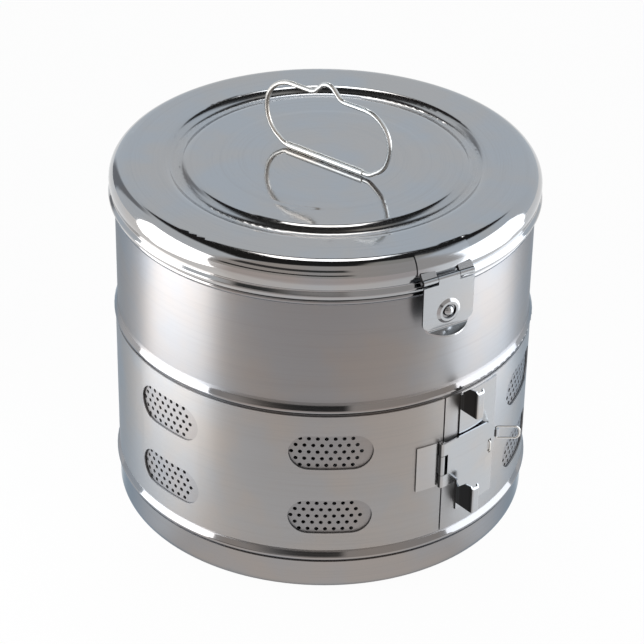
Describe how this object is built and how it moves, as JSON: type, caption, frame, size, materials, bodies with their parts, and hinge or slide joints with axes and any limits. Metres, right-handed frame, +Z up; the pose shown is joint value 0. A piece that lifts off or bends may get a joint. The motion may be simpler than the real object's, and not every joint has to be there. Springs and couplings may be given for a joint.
{
  "type": "sterilization drum",
  "caption": "Round stainless drum for sterile dressings, with a hinged hasp lid, a folding wire handle and a turning shutter band that opens or closes its steam holes.",
  "frame": {"origin": "centre of the flat underside that the drum stands on", "axes": "+Z up along the drum's axis, -Y out through the hasp, the lid's hinge is on the +Y side"},
  "size_m": [0.2322, 0.2465, 0.2477],
  "materials": {
    "body_steel": "stainless sheet, fine vertical brushing, polished beads",
    "band_steel": "stainless sheet, fine brushing, slightly brighter than the wall",
    "lid_steel": "stainless sheet, satin top that mirrors softly, polished skirt",
    "fitting_steel": "bright stamped stainless strip",
    "wire_steel": "bright drawn stainless wire and tube",
    "pin_steel": "polished turned stainless"
  },
  "bodies": {
    "drum": {"drum_wall": "body_steel", "base_pan": "body_steel", "hinge_body_strap": "fitting_steel", "hinge_pin": "pin_steel", "stud_washer": "pin_steel", "ball_stud": "pin_steel"},
    "lid": {"lid_cap": "lid_steel", "handle_tube": "wire_steel", "hinge_lid_strap": "fitting_steel", "hasp_leaf": "fitting_steel", "hasp_pin": "pin_steel"},
    "handle": {"handle_wire": "wire_steel"},
    "hasp": {"hasp_plate": "fitting_steel"},
    "band": {"shutter_band": "band_steel", "clasp_fixed_leaf": "fitting_steel", "clasp_pin": "pin_steel", "keeper_plate": "fitting_steel", "clasp_staple": "wire_steel", "upper_lug": "fitting_steel", "lower_lug": "fitting_steel"},
    "clasp": {"clasp_leaf": "fitting_steel"},
    "pull": {"wire_pull": "wire_steel"}
  },
  "joints": [
    {"name": "lid_hinge", "type": "hinge", "parent": "drum", "child": "lid", "pos_m": [0, 0.1192, 0.1844], "axis": [-1, 0, 0], "range_deg": [0, 120]},
    {"name": "handle_fold", "type": "hinge", "parent": "lid", "child": "handle", "pos_m": [-0.00259, -0.00356, 0.2028], "axis": [0.3518, -0.9361, 0], "range_deg": [-88, 88]},
    {"name": "hasp_hinge", "type": "hinge", "parent": "lid", "child": "hasp", "pos_m": [0, -0.11795, 0.1882], "axis": [-1, 0, 0], "range_deg": [0, 120]},
    {"name": "band_turn", "type": "hinge", "parent": "drum", "child": "band", "pos_m": [0, 0, 0.0686], "axis": [0, 0, 1], "range_deg": [-25, 25]},
    {"name": "clasp_hinge", "type": "hinge", "parent": "band", "child": "clasp", "pos_m": [0.00324, -0.116, 0.071], "axis": [0, 0, -1], "range_deg": [0, 120]},
    {"name": "pull_swing", "type": "hinge", "parent": "clasp", "child": "pull", "pos_m": [0.04189, -0.10996, 0.0755], "axis": [0, 0, 1], "range_deg": [-90, 40]}
  ]
}
